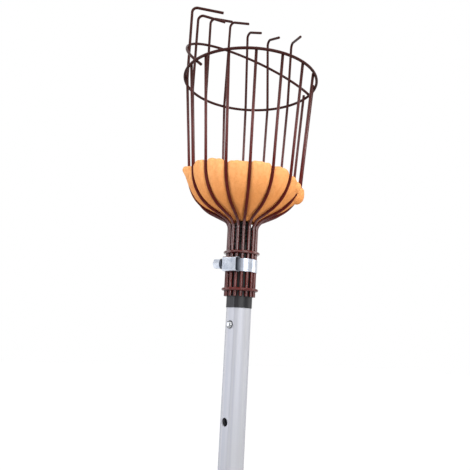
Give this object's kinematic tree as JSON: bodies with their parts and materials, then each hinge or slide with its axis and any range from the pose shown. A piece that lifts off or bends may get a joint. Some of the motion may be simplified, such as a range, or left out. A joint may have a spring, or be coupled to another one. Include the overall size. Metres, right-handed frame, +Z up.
{
  "type": "telescopic fruit picker",
  "caption": "Long-handled fruit picker: a foam-lined wire basket with hooked tines, clamped on the tip of a telescopic aluminium pole that locks with snap buttons.",
  "frame": {"origin": "on the pole's axis at the middle of the hand grip", "axes": "+Z up the pole towards the basket, +Y towards the middle hooked tine, +X completes the right hand"},
  "size_m": [0.1484, 0.1484, 1.372],
  "materials": {
    "coated_wire": "satin powder coat",
    "zinc_steel": "bright zinc",
    "button_steel": "polished",
    "spring_steel": "tempered strip",
    "satin_aluminium": "satin anodised",
    "black_plastic": "moulded",
    "black_rubber": "moulded",
    "orange_foam": "open-cell sponge"
  },
  "bodies": {
    "handle": {"lower_tube": "satin_aluminium", "lower_tube_plug": "black_plastic", "hand_grip": "black_rubber", "end_cap": "black_plastic", "length_spring": "spring_steel"},
    "length_catch": {"length_button": "button_steel"},
    "upper_pole": {"upper_tube": "satin_aluminium", "guide_collar": "black_plastic"},
    "head": {"pole_tip": "black_plastic", "tip_spring": "spring_steel", "hooked_tine_1": "coated_wire", "hooked_tine_2": "coated_wire", "hooked_tine_3": "coated_wire", "hooked_tine_4": "coated_wire", "hooked_tine_5": "coated_wire", "hooked_tine_6": "coated_wire", "hooked_tine_7": "coated_wire", "basket_rib_1": "coated_wire", "basket_rib_2": "coated_wire", "basket_rib_3": "coated_wire", "basket_rib_4": "coated_wire", "basket_rib_5": "coated_wire", "basket_rib_6": "coated_wire", "basket_rib_7": "coated_wire", "basket_rib_8": "coated_wire", "basket_rib_9": "coated_wire", "rim_ring": "coated_wire", "tine_brace": "coated_wire", "lower_hoop": "coated_wire", "upper_hoop": "coated_wire", "clamp_band": "zinc_steel", "clamp_housing": "zinc_steel", "foam_pad": "orange_foam"},
    "tip_catch": {"tip_button": "button_steel"},
    "worm_screw": {"clamp_screw": "zinc_steel"}
  },
  "joints": [
    {"name": "pole_slide", "type": "slide", "parent": "handle", "child": "upper_pole", "axis": [0, 0, 1], "range_m": [0, 0.564]},
    {"name": "length_button_press", "type": "slide", "parent": "handle", "child": "length_catch", "axis": [0.9511, 0.309, 0], "range_m": [0, 0.0042], "stiffness_N_per_m": 1200, "springref_m": -0.002, "deforming": ["length_spring"]},
    {"name": "head_pull", "type": "slide", "parent": "upper_pole", "child": "head", "axis": [0, 0, 1], "range_m": [0, 0.15]},
    {"name": "tip_button_press", "type": "slide", "parent": "head", "child": "tip_catch", "axis": [0.9511, 0.309, 0], "range_m": [0, 0.0042], "stiffness_N_per_m": 1200, "springref_m": -0.002, "deforming": ["tip_spring"]},
    {"name": "clamp_screw_turn", "type": "hinge", "parent": "head", "child": "worm_screw", "pos_m": [-0.01737, -0.01171, 0.9615], "axis": [-0.5592, 0.829, 0], "continuous": true}
  ]
}
